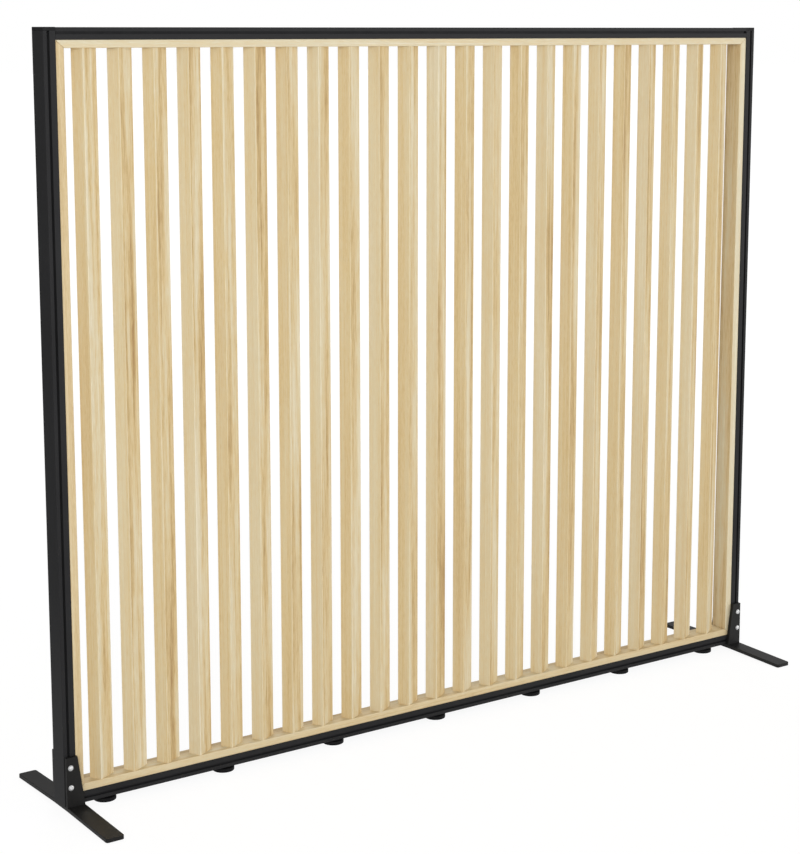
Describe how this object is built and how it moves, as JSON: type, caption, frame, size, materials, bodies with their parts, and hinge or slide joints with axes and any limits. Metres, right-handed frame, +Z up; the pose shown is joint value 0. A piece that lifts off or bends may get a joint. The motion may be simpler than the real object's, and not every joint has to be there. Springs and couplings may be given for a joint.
{
  "type": "slatted screen",
  "caption": "Free-standing slatted screen: black frame, pale timber liner and angled upright timber slats, flat steel feet and round levelling glides.",
  "frame": {"origin": "on the floor, under the middle of the screen", "axes": "+X along the screen to the right as seen from the front, +Y from front to back, +Z up"},
  "size_m": [1.8, 0.398, 1.503],
  "materials": {
    "black_profile": "satin",
    "black_cap": "matte",
    "black_steel": "satin",
    "bright_steel": "satin",
    "zinc_steel": "satin",
    "key_aluminium": "satin",
    "liner_timber": "matte",
    "slat_timber": "matte",
    "dowel_beech": "matte",
    "black_plastic": "matte"
  },
  "bodies": {
    "screen": {"slat_01": "slat_timber", "slat_02": "slat_timber", "slat_03": "slat_timber", "slat_04": "slat_timber", "slat_05": "slat_timber", "slat_06": "slat_timber", "slat_07": "slat_timber", "slat_08": "slat_timber", "slat_09": "slat_timber", "slat_10": "slat_timber", "slat_11": "slat_timber", "slat_12": "slat_timber", "slat_13": "slat_timber", "slat_14": "slat_timber", "slat_15": "slat_timber", "slat_16": "slat_timber", "slat_17": "slat_timber", "slat_18": "slat_timber", "slat_19": "slat_timber", "slat_20": "slat_timber", "slat_21": "slat_timber", "slat_22": "slat_timber", "slat_23": "slat_timber", "liner_jamb_left": "liner_timber", "liner_jamb_right": "liner_timber", "liner_sill": "liner_timber", "liner_head": "liner_timber", "post_left": "black_profile", "post_right": "black_profile", "bottom_rail": "black_profile", "top_rail": "black_profile", "post_cap_left": "black_cap", "post_cap_right": "black_cap", "foot_bar_left": "black_steel", "foot_bar_right": "black_steel", "foot_plate_left_front": "black_steel", "foot_plate_left_back": "black_steel", "foot_plate_right_front": "black_steel", "foot_plate_right_back": "black_steel", "foot_screws": "bright_steel", "corner_keys": "key_aluminium", "slot_nuts": "zinc_steel", "glide_nuts": "zinc_steel", "slat_screws": "zinc_steel", "slat_dowels": "dowel_beech", "liner_biscuits": "dowel_beech"},
    "glide_1": {"glide_pad_1": "black_plastic", "glide_stud_1": "zinc_steel"},
    "glide_2": {"glide_pad_2": "black_plastic", "glide_stud_2": "zinc_steel"},
    "glide_3": {"glide_pad_3": "black_plastic", "glide_stud_3": "zinc_steel"},
    "glide_4": {"glide_pad_4": "black_plastic", "glide_stud_4": "zinc_steel"},
    "glide_5": {"glide_pad_5": "black_plastic", "glide_stud_5": "zinc_steel"},
    "glide_6": {"glide_pad_6": "black_plastic", "glide_stud_6": "zinc_steel"},
    "glide_7": {"glide_pad_7": "black_plastic", "glide_stud_7": "zinc_steel"}
  },
  "joints": [
    {"name": "glide_1_height", "type": "slide", "parent": "screen", "child": "glide_1", "axis": [0, 0, 1], "range_m": [-0.008, 0.0035]},
    {"name": "glide_2_height", "type": "slide", "parent": "screen", "child": "glide_2", "axis": [0, 0, 1], "range_m": [-0.008, 0.0035]},
    {"name": "glide_3_height", "type": "slide", "parent": "screen", "child": "glide_3", "axis": [0, 0, 1], "range_m": [-0.008, 0.0035]},
    {"name": "glide_4_height", "type": "slide", "parent": "screen", "child": "glide_4", "axis": [0, 0, 1], "range_m": [-0.008, 0.0035]},
    {"name": "glide_5_height", "type": "slide", "parent": "screen", "child": "glide_5", "axis": [0, 0, 1], "range_m": [-0.008, 0.0035]},
    {"name": "glide_6_height", "type": "slide", "parent": "screen", "child": "glide_6", "axis": [0, 0, 1], "range_m": [-0.008, 0.0035]},
    {"name": "glide_7_height", "type": "slide", "parent": "screen", "child": "glide_7", "axis": [0, 0, 1], "range_m": [-0.008, 0.0035]}
  ]
}
